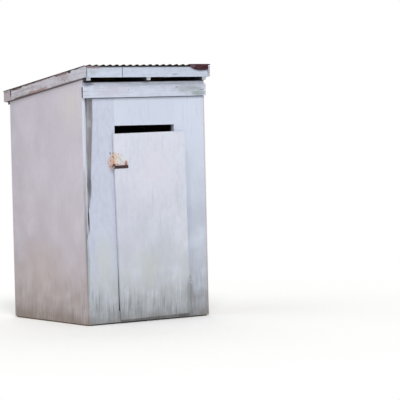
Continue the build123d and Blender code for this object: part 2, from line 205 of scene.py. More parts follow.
def paintedWood(name, choices):
    look = {**paintDefaults, **choices}
    material, tree, place = startMaterial(name, {"Roughness": 0.62, "IOR": 1.47})
    if look["tilt"]:  # boards that follow the roof have their grain and stains in the roof's own fall
        tilt = look["tilt"]
        shift = (0, hut["rakeFoot"] * math.sin(tilt), -hut["rakeFoot"] * math.cos(tilt))
        place = addNode(tree, "Mapping", {"Vector": place, "Rotation": (tilt, 0, 0), "Location": shift})
    along = look["along"]
    grainLines = noiseMask(tree, place, look["grainMm"], 0.52, 0.72, along=along, stretch=22, detail=4.0)
    checkLines = noiseMask(tree, place, look["checkMm"], 0.63, 0.70, along=along, stretch=30, detail=2.0)
    blotch = noiseMask(tree, place, look["blotchMm"], 0.1, 0.6, detail=4.0)
    mottle = noiseMask(
        tree, place, look["mottleMm"], 0.46, 0.66, look["mottleStrength"],
        along=along, stretch=1.7, detail=5.0,
    )
    specks = noiseMask(tree, place, look["speckMm"], 0.69, 0.74, look["speckStrength"], detail=2.0)
    coat, clouded = look["coats"]
    layers = [(clouded, noiseMask(tree, place, look["cloudMm"], 0.35, 0.65, detail=2.0))]
    layers += [
        (tone, pastPlane(tree, place, direction, level, soft, strength), blotch)
        for direction, level, soft, tone, strength in look["fades"]
    ]
    layers += [
        (look["grainColour"], mottle),
        (look["grainColour"], grainLines, look["grainStrength"]),
        (look["checkColour"], checkLines, look["checkStrength"]),
        (look["speckColour"], specks),
    ]
    relief = [(grainLines, -0.25), (checkLines, -0.8)]
    for stainOrLight in look["stainsAndPaintedLight"]:
        masks = [stainOrPaintedLightMask(tree, place, stainOrLight, look["through"], along)]
        if stainOrLight.speckMm:
            masks.append(noiseMask(tree, place, stainOrLight.speckMm, 0.56, 0.64, detail=2.0))
        layers.append((stainOrLight.colour, *masks))
        if stainOrLight.peel:
            relief.append((masks[0], -1.0))
    if look["splash"]:
        layers += splashLayers(tree, place, look["splash"])
    layers += [
        (dirt, pastPlane(tree, place, direction, level, soft, strength))
        for direction, level, soft, dirt, strength in look["lines"]
    ]
    if look["rawPast"]:
        fibres = noiseMask(tree, place, 9, 0.35, 0.75, along=along, stretch=25, detail=4.0)
        rawWood = layColours(tree, look["rawColour"], [(look["rawLate"], fibres)])
        layers.append((rawWood, pastPlane(tree, place, *look["rawPast"])))
    return finishMaterial(material, {
        "Base Color": layColours(tree, coat, layers), "Normal": reliefFrom(tree, relief, 0.0008),
    })


# Mud splash and algae that climb the sheets from the ground: films of uneven height, given by reach, colour
# and strength, and fine upright runs where the rain has washed them
def splashLayers(tree, place, splash):
    patches = realNoise(tree, place, 150, detail=3.0)
    streaks = realNoise(tree, place, splash["streakMm"], "Z", 14, 4.0)
    uneven = addNode(tree, "Math", {0: patches, 1: 1.6, 2: -0.80}, operation="MULTIPLY_ADD")
    uneven = addNode(tree, "Math", {0: streaks, 1: 1.4, 2: uneven}, operation="MULTIPLY_ADD")
    layers = []
    for reach, colour, strength in splash["coats"]:
        fade = pastPlane(tree, place, (0, 0, -1), -reach, reach)
        climb = addNode(tree, "Math", {0: fade, 1: uneven}, operation="ADD")
        mask = addNode(
            tree, "MapRange", {"Value": climb, "From Min": 0.75, "From Max": 1.75, "To Max": strength}
        )
        layers.append((colour, mask, pastPlane(tree, place, (0, 0, -1), -reach, reach * 0.6)))
    runs = noiseMask(tree, place, 16, 0.50, 0.64, splash["runStrength"], along="Z", stretch=12, detail=5.0)
    groups = noiseMask(tree, place, 110, 0.42, 0.62, along="Z", stretch=2)
    foot = splash["coats"][1][0]
    layers.append((splash["runs"], runs, groups, pastPlane(tree, place, (0, 0, -1), -foot, foot * 0.7)))
    return layers


frontSplash = {
    "streakMm": 13, "coats": [(0.95, "#B3B9B8", 0.50), (0.44, "#8A8D91", 0.85), (0.14, "#706C67", 0.60)],
    "runs": "#63676A", "runStrength": 0.60,
}
rightSplash = {
    "streakMm": 13, "coats": [(1.00, "#A9B0B4", 0.45), (0.50, "#7F7F82", 1.00), (0.16, "#6C6964", 0.50)],
    "runs": "#56595D", "runStrength": 0.70,
}
sideSplash = {
    "streakMm": 15, "coats": [(0.95, "#A3968F", 0.40), (0.46, "#857973", 0.65), (0.16, "#6A5E55", 0.60)],
    "runs": "#6C605A", "runStrength": 0.40,
}

# Dark lines right under the header board and the rake boards: painted shadow of the boards, with some dirt
shadeAndDirtUnderHeader = ((-0.00733, 0, 1), 1.9085, 0.0050, "#565A68", 0.95)
shadeAndDirtUnderRake = ((0, math.tan(hut["roofPitch"]), 1), hut["rakeFoot"] - 0.017, 0.009, "#4C3D3B", 0.85)

# Torn paint and rust round the hasp, in the wall sheet and the door alike
haspPatch = [
    stainOrPaintedLightAt((-0.352, 1.366), (0.044, 0.062), "#C6B2AF", 18, 0.95, 0.22, ragged=0.5, peel=True),
    stainOrPaintedLightAt((-0.32, 1.402), (0.038, 0.062), "#D9C3B4", 18, 0.95, 0.22, ragged=0.5, peel=True),
    stainOrPaintedLightAt((-0.328, 1.362), (0.028, 0.04), "#DDBEAA", 14, 0.9, 0.4, ragged=0.5),
    stainOrPaintedLightAt((-0.27, 1.374), (0.054, 0.05), "#D2D2D1", 16, 0.95, 0.25, ragged=0.5, peel=True),
    stainOrPaintedLightAt((-0.262, 1.346), (0.06, 0.014), "#CBB3B8", 12, 0.9, ragged=0.5),
    stainOrPaintedLightAt((-0.222, 1.352), (0.026, 0.036), "#CDAFA6", 14, 0.9, 0.25, ragged=0.5, peel=True),
    stainOrPaintedLightAt((-0.345, 1.355), (0.055, 0.07), "#A87B68", 12, 0.55, speckMm=17),
    stainOrPaintedLightAt((-0.312, 1.385), (0.075, 0.09), "#3C3032", 12, 0.85, 0.4, speckMm=12),
    stainOrPaintedLightAt((-0.222, 1.345), (0.016, 0.036), "#5E2C2E", 10, 0.85),
    stainOrPaintedLightAt((-0.333, 1.345), (0.01, 0.014), "#6B3A2E", 8),
    stainOrPaintedLightAt((-0.362, 1.446), (0.006, 0.014), "#2C2830", 8),
    stainOrPaintedLightAt((-0.338, 1.446), (0.004, 0.008), "#6B5A58", 8),
    stainOrPaintedLightAt((-0.341, 1.416), (0.005, 0.009), "#5B4846", 8),
    stainOrPaintedLightAt((-0.358, 1.383), (0.006, 0.008), "#3A2E2E", 8),
    stainOrPaintedLightAt((-0.258, 1.372), (0.005, 0.005), "#6F6668", 8),
]

frontRaw = ((0, 1, 0), -0.5985, 0.0008)
# The white paint is given in two copies: bluish on the front, pinker and greyer on the side walls and rake
# boards. That difference in tint is painted light: it stands in for the cooler sky light on the front and the
# dimmer light on the sides
sidePaintAndShade = {
    "coats": ("#C2BCC7", "#BCB6C1"), "grainStrength": 0.06, "grainColour": "#9C94A0",
    "checkStrength": 0.08, "checkColour": "#857E89", "through": "X", "splash": sideSplash,
    "lines": [shadeAndDirtUnderRake],
    "fades": [((0, 1, 0), -0.45, 1.05, "#8A838C", 0.38), ((0, 0, -1), -1.25, 1.05, "#968B8A", 0.60)],
}
# The rake boards' unpainted inner faces are coloured near black, far darker than raw wood: painted shade
# inside the eave
rakePaintAndInnerShade = {
    "along": "Y", "through": "X", "tilt": hut["roofPitch"], "mottleStrength": 0.40, "grainMm": 9,
    "grainColour": "#8F8790", "checkColour": "#706A70", "rawColour": "#3A3430", "rawLate": "#2A2523",
}

paints = {
    "front_wall_left": {
        "coats": ("#C1C6D8", "#BABFD1"), "mottleStrength": 0.22, "rawPast": frontRaw,
        "splash": frontSplash, "fades": [((0, 0, -1), -0.80, 0.80, "#A9AFB2", 0.40)], "lines": [shadeAndDirtUnderHeader],
        "stainsAndPaintedLight": haspPatch + [
            stainOrPaintedLightAt((-0.43, 0.52), (0.12, 0.34), "#BEC3BE", 90, 0.55, 0.9),
            stainOrPaintedLightAt((-0.355, 0.28), (0.04, 0.16), "#B2B8A8", 30, 0.5, 0.9, drawn=8),
            stainOrPaintedLightAt((-0.6, 0.4), (0.012, 0.4), "#84888E", 12, 0.6, 0.6, drawn=8),
            # Dark along the sheet's crooked left edge low down: painted shadow of the slit beside it
            stainOrPaintedLightAt((-0.588, 0.87), (0.008, 0.12), "#4E4D53", 10, 0.9, drawn=8),
            stainOrPaintedLightAt((-0.563, 1.16), (0.011, 0.11), "#77797E", 10, 0.8, drawn=8),
        ],
    },
    "front_wall_right": {
        "coats": ("#CBD2E2", "#C6CDDE"), "mottleStrength": 0.04, "grainStrength": 0.11, "checkStrength": 0.16,
        "rawPast": frontRaw, "splash": rightSplash, "lines": [shadeAndDirtUnderHeader],
        "fades": [((0, 0, -1), -1.65, 0.95, "#9DA2AE", 0.66)],
        "stainsAndPaintedLight": [
            # Bluish grey down the strip beside the door: painted shade by the door's proud edge
            stainOrPaintedLightAt((0.43, 0.86), (0.045, 0.6), "#A4ACBE", 40, 0.55, 0.9, drawn=8),
            stainOrPaintedLightAt((0.455, 0.18), (0.06, 0.17), "#8B8D90", 16, 0.6, 0.9, drawn=8),
            stainOrPaintedLightAt((0.43, 0.18), (0.027, 0.2), "#5F6165", 14, 0.9, 0.8, drawn=8),
        ],
    },
    "front_wall_top": {
        "coats": ("#C9D0DF", "#C4CBDB"), "mottleStrength": 0.05, "rawPast": frontRaw, "lines": [shadeAndDirtUnderHeader],
    },
    "front_wall_sill": {"rawPast": frontRaw, "splash": frontSplash},
    "door_panel": {
        "coats": ("#D1D4E0", "#C9CDDB"), "mottleStrength": 0.16, "splash": frontSplash,
        "rawPast": ((0, 1, 0), -0.6155, 0.0008), "fades": [((0, 0, -1), -1.40, 1.10, "#A4A7AE", 0.66)],
        "stainsAndPaintedLight": haspPatch + [
            stainOrPaintedLightAt((0.0, 0.45), (0.12, 0.22), "#B3B8AB", 70, 0.45, 0.9),
            stainOrPaintedLightAt((-0.25, 0.95), (0.1, 0.5), "#C0BFD0", 90, 0.5, 0.9),
            stainOrPaintedLightAt((0.1, 1.3), (0.28, 0.34), "#D0CEDA", 120, 0.6, 0.9),
            stainOrPaintedLightAt((0.36, 0.2), (0.08, 0.2), "#888C91", 18, 0.6, 0.9, drawn=8),
            stainOrPaintedLightAt((0.396, 0.17), (0.026, 0.2), "#595B5E", 14, 0.95, 0.75, drawn=8),
        ],
    },
    "left_wall": {
        **sidePaintAndShade, "rawPast": ((1, 0, 0), -0.6105, 0.0008),
        "stainsAndPaintedLight": [
            stainOrPaintedLightAt((0.12, 0.42), (0.4, 0.34), "#AD9C92", 160, 0.4, 0.95),
            stainOrPaintedLightAt((-0.42, 1.86), (0.26, 0.24), "#C2BEBA", 140, 0.55, 0.95),
            stainOrPaintedLightAt((-0.607, 1.62), (0.02, 0.5), "#CCD3E2", 14, 0.85, 0.45, drawn=8, ragged=0.3),
            stainOrPaintedLightAt((-0.604, 0.76), (0.022, 0.66), "#8B8D91", 18, 0.75, 0.6, drawn=8),
            stainOrPaintedLightAt((-0.611, 0.5), (0.008, 0.46), "#66676B", 12, 0.6, drawn=8),
        ],
    },
    "right_wall": {**sidePaintAndShade, "rawPast": ((-1, 0, 0), -0.6105, 0.0008)},
    "back_wall": {
        "coats": ("#BCBCC7", "#B4B5C1"), "rawPast": ((0, -1, 0), -0.5985, 0.0008),
        "splash": frontSplash, "fades": [((0, 0, -1), -1.40, 1.40, "#9A9896", 0.50)],
    },
    "header_board": {
        "coats": ("#CACFDF", "#C2C8D8"), "mottleStrength": 0.24, "along": "X", "grainMm": 8,
        "grainStrength": 0.45, "checkStrength": 0.50, "checkColour": "#7E828F",
        # The dark line on the board's left end is its weathered end grain; the grey line along its top is
        # painted shade under the eave
        "lines": [((-1, 0, 0), 0.6297, 0.0006, "#302D33", 1.0), ((0, 0, 1), 2.0445, 0.0030, "#8F93A0", 0.6)],
        "stainsAndPaintedLight": [
            stainOrPaintedLightAt((-0.585, 2.032), (0.075, 0.026), "#7C7D90", 9, 0.9, drawn=8),
            stainOrPaintedLightAt((0.548, 1.948), (0.08, 0.022), "#8C9998", 5, 0.9, 0.3, drawn=10, ragged=1.0),
            stainOrPaintedLightAt((0.5, 1.99), (0.07, 0.012), "#8E989C", 5, 0.85, 0.3, drawn=10, ragged=1.0),
            stainOrPaintedLightAt((0.44, 1.985), (0.2, 0.04), "#A0A7AE", 4, 0.8, drawn=18, ragged=1.4),
            stainOrPaintedLightAt((0.595, 1.9765), (0.034, 0.003), "#45454E", 8, 1.0, 0.4, ragged=0.3),
            # Grey bands just under the board's top: painted shade under the eave
            stainOrPaintedLightAt((0.3, 2.03), (0.32, 0.014), "#A3A9B5", 4, 0.7, 0.8, drawn=16),
            stainOrPaintedLightAt((0.02, 2.022), (0.3, 0.012), "#A3A9B5", 4, 0.6, 0.8, drawn=16),
            stainOrPaintedLightAt((-0.3, 1.975), (0.22, 0.06), "#BEBACB", 60, 0.7, 0.9),
            stainOrPaintedLightAt((-0.175, 1.982), (0.006, 0.005), "#6C6E7A", 5),
            stainOrPaintedLightAt((0.32, 2.0), (0.01, 0.004), "#6C6E7A", 5),
            stainOrPaintedLightAt((0.0, 2.041), (0.05, 0.007), "#83867F", 10, 0.85, 0.6),
        ],
    },
    "front_fascia": {
        "coats": ("#C5CDDE", "#BCC5D6"), "rawPast": ((0, 1, 0), -0.6633, 0.0006), "along": "X",
        "grainStrength": 0.28, "checkStrength": 0.34, "mottleStrength": 0.26,
        # Greyer towards its top; the near-black line along its head is painted shadow under the roof sheet's
        # edge
        "fades": [((0, 0, 1), 2.125, 0.045, "#A3A6B0", 0.35)],
        "lines": [((0, 0, 1), 2.1665, 0.0030, "#26262E", 0.92)],
        "stainsAndPaintedLight": [
            stainOrPaintedLightAt((-0.565, 2.128), (0.05, 0.03), "#A4ABB0", 18, 0.7, 0.7, ragged=1.0),
            stainOrPaintedLightAt((-0.6205, 2.127), (0.0062, 0.05), "#2E2F38", 8, 0.95, 0.35, ragged=0.2),
            stainOrPaintedLightAt((0.6195, 2.135), (0.0075, 0.05), "#686B78", 8, 0.8, 0.35, ragged=0.2),
            stainOrPaintedLightAt((-0.2652, 2.13), (0.005, 0.07), "#5E616C", 8, 0.9, 0.3, ragged=0.15),
            stainOrPaintedLightAt((0.27, 2.108), (0.05, 0.012), "#989EAB", 8, 0.8, 0.7, drawn=8),
            stainOrPaintedLightAt((-0.55, 2.162), (0.09, 0.014), "#A2949C", 10, 0.7, 0.7),
        ],
    },
    "back_fascia": {
        "coats": ("#BCBCC7", "#B4B5C1"), "along": "X", "grainStrength": 0.25,
        # The near-black line along its head is painted shadow under the roof sheet's edge
        "rawPast": ((0, -1, 0), -0.6633, 0.0006), "lines": [((0, 0, 1), 1.9895, 0.0030, "#26262E", 0.90)],
    },
    "rake_board_left": {
        **rakePaintAndInnerShade, "coats": ("#B9B5BE", "#ACA7AF"), "grainStrength": 0.40, "checkStrength": 0.55,
        "fades": [((0, -1, 0), 0.40, 0.26, "#BEC4CE", 0.95)], "rawPast": ((1, 0, 0), -0.6223, 0.0006),
        "stainsAndPaintedLight": [
            stainOrPaintedLightAt((0.09, 0.001), (0.175, 0.027), "#8A7270", 14, 0.95, 0.25, drawn=3, peel=True),
            stainOrPaintedLightAt((0.27, 0.05), (0.07, 0.04), "#B9BDB9", 26, 0.65, 0.6),
            stainOrPaintedLightAt((0.185, 0.055), (0.006, 0.04), "#86857F", 10, 0.7, 0.6),
            stainOrPaintedLightAt((-0.36, 0.05), (0.11, 0.042), "#978C92", 22, 0.75, 0.6, ragged=1.1),
            stainOrPaintedLightAt((0.12, 0.022), (0.05, 0.007), "#C9BFC3", 10, 0.8, 0.3, drawn=3),
            stainOrPaintedLightAt((0.36, 0.0), (0.2, 0.01), "#5E4E4C", 12, 0.85, 0.4, drawn=4, peel=True),
            stainOrPaintedLightAt((-0.3, 0.0), (0.3, 0.007), "#7B6D6E", 12, 0.7, drawn=4),
            stainOrPaintedLightAt((-0.368, 0.018), (0.012, 0.014), "#857A82", 9, 0.8),
            stainOrPaintedLightAt((0.3, 0.052), (0.2, 0.014), "#948A90", 7, 0.8, 0.7, drawn=8),
            stainOrPaintedLightAt((0.46, 0.083), (0.1, 0.014), "#5B4648", 16, 0.85, 0.3, ragged=1.1, peel=True),
            stainOrPaintedLightAt((0.1, 0.087), (0.3, 0.008), "#6A5458", 14, 0.8, 0.3, ragged=1.3, peel=True),
            stainOrPaintedLightAt((-0.34, 0.084), (0.1, 0.012), "#7F666A", 14, 0.8, 0.3, ragged=1.1, peel=True),
        ],
    },
    "rake_end_left": {
        "coats": ("#A69CA1", "#998E92"), "along": "Y", "through": "X", "tilt": hut["roofPitch"],
        "grainStrength": 0.40, "grainColour": "#857C82",
        "stainsAndPaintedLight": [
            stainOrPaintedLightAt((0.557, 0.06), (0.012, 0.04), "#3A3538", 8, 1.0, 0.3, ragged=0.3),
            stainOrPaintedLightAt((0.63, 0.075), (0.06, 0.012), "#7D6C6A", 12, 0.7, 0.6, drawn=8, peel=True),
        ],
    },
    "rake_board_right": {
        **rakePaintAndInnerShade, "coats": ("#BDBCC8", "#B3B2BE"), "grainStrength": 0.35, "checkStrength": 0.45,
        "rawPast": ((-1, 0, 0), -0.6223, 0.0006),
        "stainsAndPaintedLight": [
            stainOrPaintedLightAt((0.25, 0.002), (0.22, 0.016), "#927570", 14, 0.9, 0.3, drawn=4, peel=True),
        ],
    },
}

for nodeName, choices in paints.items():
    dress([nodeName], paintedWood("housePaintOn_" + nodeName, choices))
print("paint laid on", len(paints), "sheets and boards")


# Rough-sawn pine framing, unpainted and gone brown indoors: dull, drawn-out fibres with darker latewood and
# faint saw marks across
timberDefaults = {
    "wood": "#8C7050",
    "late": "#664C33",
    "aged": "#6F6254",
    "agedShare": 0.6,
    "fibreMm": 6,
    "sawMm": 7,
}


def sawnTimber(name, along, choices):
    look = {**timberDefaults, **choices}
    material, tree, place = startMaterial(name, {"Roughness": 0.78, "IOR": 1.5})
    fibres = realNoise(tree, place, look["fibreMm"], along, 18, 5.0)
    fibreMask = addNode(tree, "MapRange", {"Value": fibres, "From Min": 0.5, "From Max": 0.75, "To Max": 0.6})
    rings = realNoise(tree, place, 22, along, 14, 2.0)
    ringWave = addNode(tree, "Math", {0: rings, 1: 26.0}, operation="MULTIPLY")
    ringLines = addNode(tree, "Math", {0: ringWave}, operation="SINE")
    ringMask = addNode(
        tree, "MapRange", {"Value": ringLines, "From Min": -0.2, "From Max": 1.0, "To Max": 0.55}
    )
    sawMarks = realNoise(tree, place, look["sawMm"], "Y" if along == "X" else "X", 12, 1.0)
    layers = [
        (look["late"], ringMask),
        (look["late"], fibreMask),
        (look["aged"], noiseMask(tree, place, 330, 0.4, 0.65, look["agedShare"])),
    ]
    if "paintedPast" in look:
        layers.append((look["paint"], pastPlane(tree, place, *look["paintedPast"])))
    return finishMaterial(material, {
        "Base Color": layColours(tree, look["wood"], layers),
        "Normal": reliefFrom(tree, [(fibres, 1.0), (sawMarks, 0.5)], 0.001, 0.6),
    })


timbers = {
    "Z": ["corner_post_front_right", "corner_post_back_left", "corner_post_back_right"],
    "X": [
        "back_plate", "purlin_middle", "purlin_back", "door_head", "door_batten_lower", "door_batten_upper",
    ],
    "Y": ["skid_left", "skid_centre", "skid_right", "side_girt_left", "side_girt_right"],
}
for along, names in timbers.items():
    dress(names, sawnTimber("sawnPine" + along, along, {}))

# The timbers in the open eave are coloured near black: painted shade, so that the eave reads dark
eaveShadeWood = {"wood": "#46434A", "late": "#302E36", "aged": "#38373E"}
dress(["front_plate", "purlin_front"], sawnTimber("pineDarkenedAsEaveShade", "X", eaveShadeWood))

# Door studs carry paint on the faces that line the doorway, and rafters on the ends that show in the eave
for nodeName, plane in (
    ("door_stud_left", ((1, 0, 0), -0.3130, 0.0006)), ("door_stud_right", ((-1, 0, 0), -0.2990, 0.0006)),
):
    jamb = {"paintedPast": plane, "paint": "#C3C7CE"}
    dress([nodeName], sawnTimber("sawnPinePaintedJamb_" + nodeName, "Z", jamb))
rafterEnd = {**eaveShadeWood, "paintedPast": ((0, -1, 0), 0.655, 0.004), "paint": "#CDD1D6"}
dress(["rafter_left", "rafter_centre", "rafter_right"], sawnTimber("pineDarkenedAsEaveShadePaintedEnd", "Y", rafterEnd))
dress(["floor_deck"], sawnTimber("firPlywoodDeck", "X", {"fibreMm": 9, "wood": "#8A6F4E", "agedShare": 0.7}))
print("timber finished")

# Corner post left bare by the crooked sheet: silver-grey weathered pine, with a strip of paint by the corner
barePost = {
    "paint": "#C9D0DE",
    "paintEnds": -0.5879,
    "paintFull": -0.5891,
    "wood": "#96969A",
    "late": "#717077",
    "fibres": "#84828A",
    "cracks": "#48454B",
    "inside": "#8C7050",
    "insidePast": -0.5965,
    "stainsAndPaintedLight": [
        stainOrPaintedLightAt((-0.583, 1.86), (0.016, 0.085), "#5E586A", 14, 0.8, 0.6, drawn=8),
        stainOrPaintedLightAt((-0.589, 1.905), (0.012, 0.018), "#2F2B38", 8, 0.8),
        stainOrPaintedLightAt((-0.54, 1.84), (0.03, 0.075), "#6C6D72", 14, 0.75, 0.6, drawn=8),
        stainOrPaintedLightAt((-0.56, 1.7), (0.05, 0.055), "#A5A8A8", 25, 0.5, 0.7),
        stainOrPaintedLightAt((-0.575, 1.48), (0.03, 0.08), "#877D82", 25, 0.6, 0.7),
        stainOrPaintedLightAt((-0.56, 1.37), (0.06, 0.06), "#858C85", 30, 0.6, 0.7),
        stainOrPaintedLightAt((-0.572, 1.2), (0.032, 0.13), "#606267", 12, 0.85, 0.6, drawn=8),
        # Near black down the slit beside the sheet's edge: painted shadow in the narrow gap
        stainOrPaintedLightAt((-0.587, 0.9), (0.014, 0.14), "#222024", 12, 1.0, 0.4, drawn=8),
    ],
}


def weatheredPost():
    material, tree, place = startMaterial("weatheredPinePost", {"Roughness": 0.85, "IOR": 1.5})
    fibres = noiseMask(tree, place, 5, 0.45, 0.7, along="Z", stretch=30, detail=5.0)
    crackLines = noiseMask(tree, place, 9, 0.64, 0.69, along="Z", stretch=50, detail=2.0)
    # The paint's edge wanders a few millimetres along the post
    wandering = realNoise(tree, place, 9, "Z", 4, 2.0)
    edge = addNode(tree, "SeparateXYZ", {0: place}, out="X")
    edge = addNode(tree, "Math", {0: wandering, 1: 0.006, 2: edge}, operation="MULTIPLY_ADD")
    painted = addNode(
        tree, "MapRange",
        {"Value": edge, "From Min": barePost["paintEnds"], "From Max": barePost["paintFull"]},
    )
    lateWood = noiseMask(tree, place, 26, 0.42, 0.62, 0.7, along="Z", stretch=40, detail=2.0)
    layers = [
        (barePost["late"], lateWood),
        (barePost["fibres"], fibres, 0.5),
        (barePost["cracks"], crackLines, 0.7),
    ]
    layers += [(stainOrLight.colour, stainOrPaintedLightMask(tree, place, stainOrLight)) for stainOrLight in barePost["stainsAndPaintedLight"]]
    layers += [
        (barePost["paint"], painted),
        (barePost["inside"], pastPlane(tree, place, (0, 1, 0), barePost["insidePast"], 0.0008)),
    ]
    return finishMaterial(material, {
        "Base Color": layColours(tree, barePost["wood"], layers),
        "Normal": reliefFrom(tree, [(fibres, 0.6), (crackLines, -2.0), (painted, 1.0)], 0.001, 0.7),
    })


dress(["corner_post_front_left"], weatheredPost())


# Corrugated galvanised steel, decades old: dull zinc worn through to orange and dark brown rust that has run
# down the fall in streaks, rougher than the zinc and not metallic. Cut ends and underside are coloured near
# black: painted shade under the sheet's edge
sheetDefaults = {
    "zinc": "#646262", "rust": "#50332B", "darkRust": "#312425", "orange": "#704734", "rustShare": 0.66,
    "spangle": "#7C7A7A", "underside": "#1E1718", "cutEnds": "#1A1518",
}


def rustySheet(name, choices):
    look = {**sheetDefaults, **choices}
    material, tree, place = startMaterial(name, {"IOR": 1.45})
    streaks = realNoise(tree, place, 30, "Y", 22, 5.0)
    blooms = realNoise(tree, place, 200, detail=7.0)
    grit = noiseMask(tree, place, 4, 0.55, 0.7)
    spangle = addNode(tree, "TexVoronoi", {"Vector": place, "Scale": 1000 / 14}, out="Color")
    spangleShade = addNode(tree, "SeparateColor", {0: spangle})
    both = addNode(tree, "Math", {0: streaks, 1: blooms}, operation="ADD")
    wornFrom = 1.14 - look["rustShare"] * 0.5
    rusted = addNode(tree, "MapRange", {"Value": both, "From Min": wornFrom, "From Max": wornFrom + 0.2})
    darkShare = addNode(tree, "MapRange", {"Value": blooms, "From Min": 0.46, "From Max": 0.66})
    runs = addNode(tree, "MapRange", {"Value": streaks, "From Min": 0.52, "From Max": 0.70, "To Max": 0.55})
    rustColour = layColours(
        tree, look["rust"],
        [(look["darkRust"], darkShare), (look["orange"], runs), (look["orange"], grit, 0.45)],
    )
    facing = addNode(tree, "TexCoord", {}, out="Normal")
    # Painted shade: faces turned down, and the front cut ends, go near black
    shadedUnderneath = pastPlane(tree, facing, (0, 0, -1), -0.15, 0.4)
    cutEnd = pastPlane(tree, facing, (0, -1, 0), 0.60, 0.2)
    bare = addNode(tree, "Math", {0: rusted, 1: shadedUnderneath}, operation="MAXIMUM")
    return finishMaterial(material, {
        "Base Color": layColours(tree, look["zinc"], [
            (look["spangle"], spangleShade, 0.30), (rustColour, rusted), (look["underside"], shadedUnderneath),
            (look["cutEnds"], cutEnd),
        ]),
        "Metallic": addNode(tree, "MapRange", {"Value": bare, "To Min": 0.40, "To Max": 0.0}),
        "Roughness": addNode(tree, "MapRange", {"Value": bare, "To Min": 0.50, "To Max": 0.88}),
        "Normal": reliefFrom(tree, [(grit, 0.5), (rusted, 0.5)], 0.0006),
    })


dress(["roof_sheet_left", "roof_sheet_right"], rustySheet("rustedGalvanisedSheet", {}))


# Flap of sheet steel with old maroon paint, gone matt, scuffed to a pinkish brown and rusting dark, and a
# painted highlight where its bent top catches the light
flapPaint = {
    "paint": "#371C24",
    "clouds": "#40242C",
    "scuffed": "#5E3D46",
    "scuffedFrom": 2.152,
    "rust": "#2E1119",
    "edge": "#43383C",
    "edgeUpTo": 2.158,
    "stainsAndPaintedLight": [
        # Painted highlight where the flap's bent top catches the light
        stainOrPaintedLightAt((0.45, 2.176), (0.05, 0.016), "#625254", 25, 0.9, 0.7, ragged=0.5),
        stainOrPaintedLightAt((0.585, 2.168), (0.026, 0.012), "#330A18", 25, 0.95, 0.8, ragged=0.4),
    ],
}


def maroonSheet():
    material, tree, place = startMaterial(
        "maroonPaintedSteel", {"Roughness": 0.7, "IOR": 1.5, "Specular IOR Level": 0.2}
    )
    scuffed = noiseMask(tree, place, 9, 0.52, 0.62, along="X", stretch=3, detail=4.0)
    clouds = noiseMask(tree, place, 45, 0.4, 0.65, detail=2.0)
    upper = pastPlane(tree, place, (0, 0, 1), flapPaint["scuffedFrom"], 0.020, 0.7)
    lower = pastPlane(tree, place, (0, 0, -1), -flapPaint["edgeUpTo"], 0.016, 0.75)
    layers = [
        (flapPaint["clouds"], clouds),
        (flapPaint["scuffed"], upper, scuffed),
        (flapPaint["rust"], noiseMask(tree, place, 16, 0.58, 0.64, 0.9)),
        (flapPaint["edge"], lower),
    ]
    layers += [(stainOrLight.colour, stainOrPaintedLightMask(tree, place, stainOrLight)) for stainOrLight in flapPaint["stainsAndPaintedLight"]]
    return finishMaterial(material, {
        "Base Color": layColours(tree, flapPaint["paint"], layers),
        "Normal": reliefFrom(tree, [(scuffed, 1.0)], 0.0004),
    })


dress(["roof_corner_flap"], maroonSheet())


# Steel fittings: rust over forged or pressed iron, or house paint over steel that rusts at its edges
fittingLook = {
    "iron": "#2C1B1D", "ironRust": "#46272A", "grit": "#4A2A22", "wallPaint": "#BBA8A8",
    "strapPaintedPast": ((-1, 0, 0), 0.340, 0.010),
}


def steelFitting(name, coat, rust, rustFrom, paintedPast=None):
    material, tree, place = startMaterial(name, {"Roughness": 0.7, "IOR": 1.5})
    grit = noiseMask(tree, place, 3, 0.55, 0.7, detail=4.0)
    patches = noiseMask(tree, place, 17, rustFrom, rustFrom + 0.10, detail=4.0)
    layers = [(rust, patches), (fittingLook["grit"], grit, 0.4)]
    if paintedPast:
        layers.insert(0, (fittingLook["wallPaint"], pastPlane(tree, place, *paintedPast)))
    return finishMaterial(material, {
        "Base Color": layColours(tree, coat, layers), "Normal": reliefFrom(tree, [(grit, 1.0)], 0.0004),
    })


iron = (fittingLook["iron"], fittingLook["ironRust"])
rustedIron = steelFitting("rustedIron", *iron, 0.42)
halfPaintedIron = steelFitting("rustedIronUnderWallPaint", *iron, 0.52, fittingLook["strapPaintedPast"])
paintedHinge = steelFitting("housePaintedSteelHinge", "#C0C6D4", "#9A867F", 0.62)
greyedHinge = steelFitting("dirtiedSteelHinge", "#989EA8", "#7C6860", 0.62)
dress(["hasp_plate"], rustedIron)
dress(["hasp_strap", "hasp_staple"], halfPaintedIron)
for side, hingeSteel in (("lower", greyedHinge), ("upper", paintedHinge)):
    dress([f"hinge_wall_leaf_{side}", f"hinge_door_leaf_{side}"], hingeSteel)
print("metal finished")


def meshFrom(bm, name):
    mesh = bpy.data.meshes.new(name)
    bm.to_mesh(mesh)
    bm.free()
    return mesh


def placeObject(name, data):
    made = bpy.data.objects.new(name, data)
    bpy.context.scene.collection.objects.link(made)
    return made


def finishPiece(bm, name, material, body):
    piece = placeObject(name, meshFrom(bm, name))
    piece.data.materials.append(material)
    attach(piece, body)


# Turns a shape made round +Z so that it stands on a surface
def standOn(bm, verts, point, outwards):
    turn = Vector(outwards).to_track_quat("Z", "Y").to_matrix().to_4x4()
    bmesh.ops.transform(bm, verts=verts, matrix=Matrix.Translation(point) @ turn)


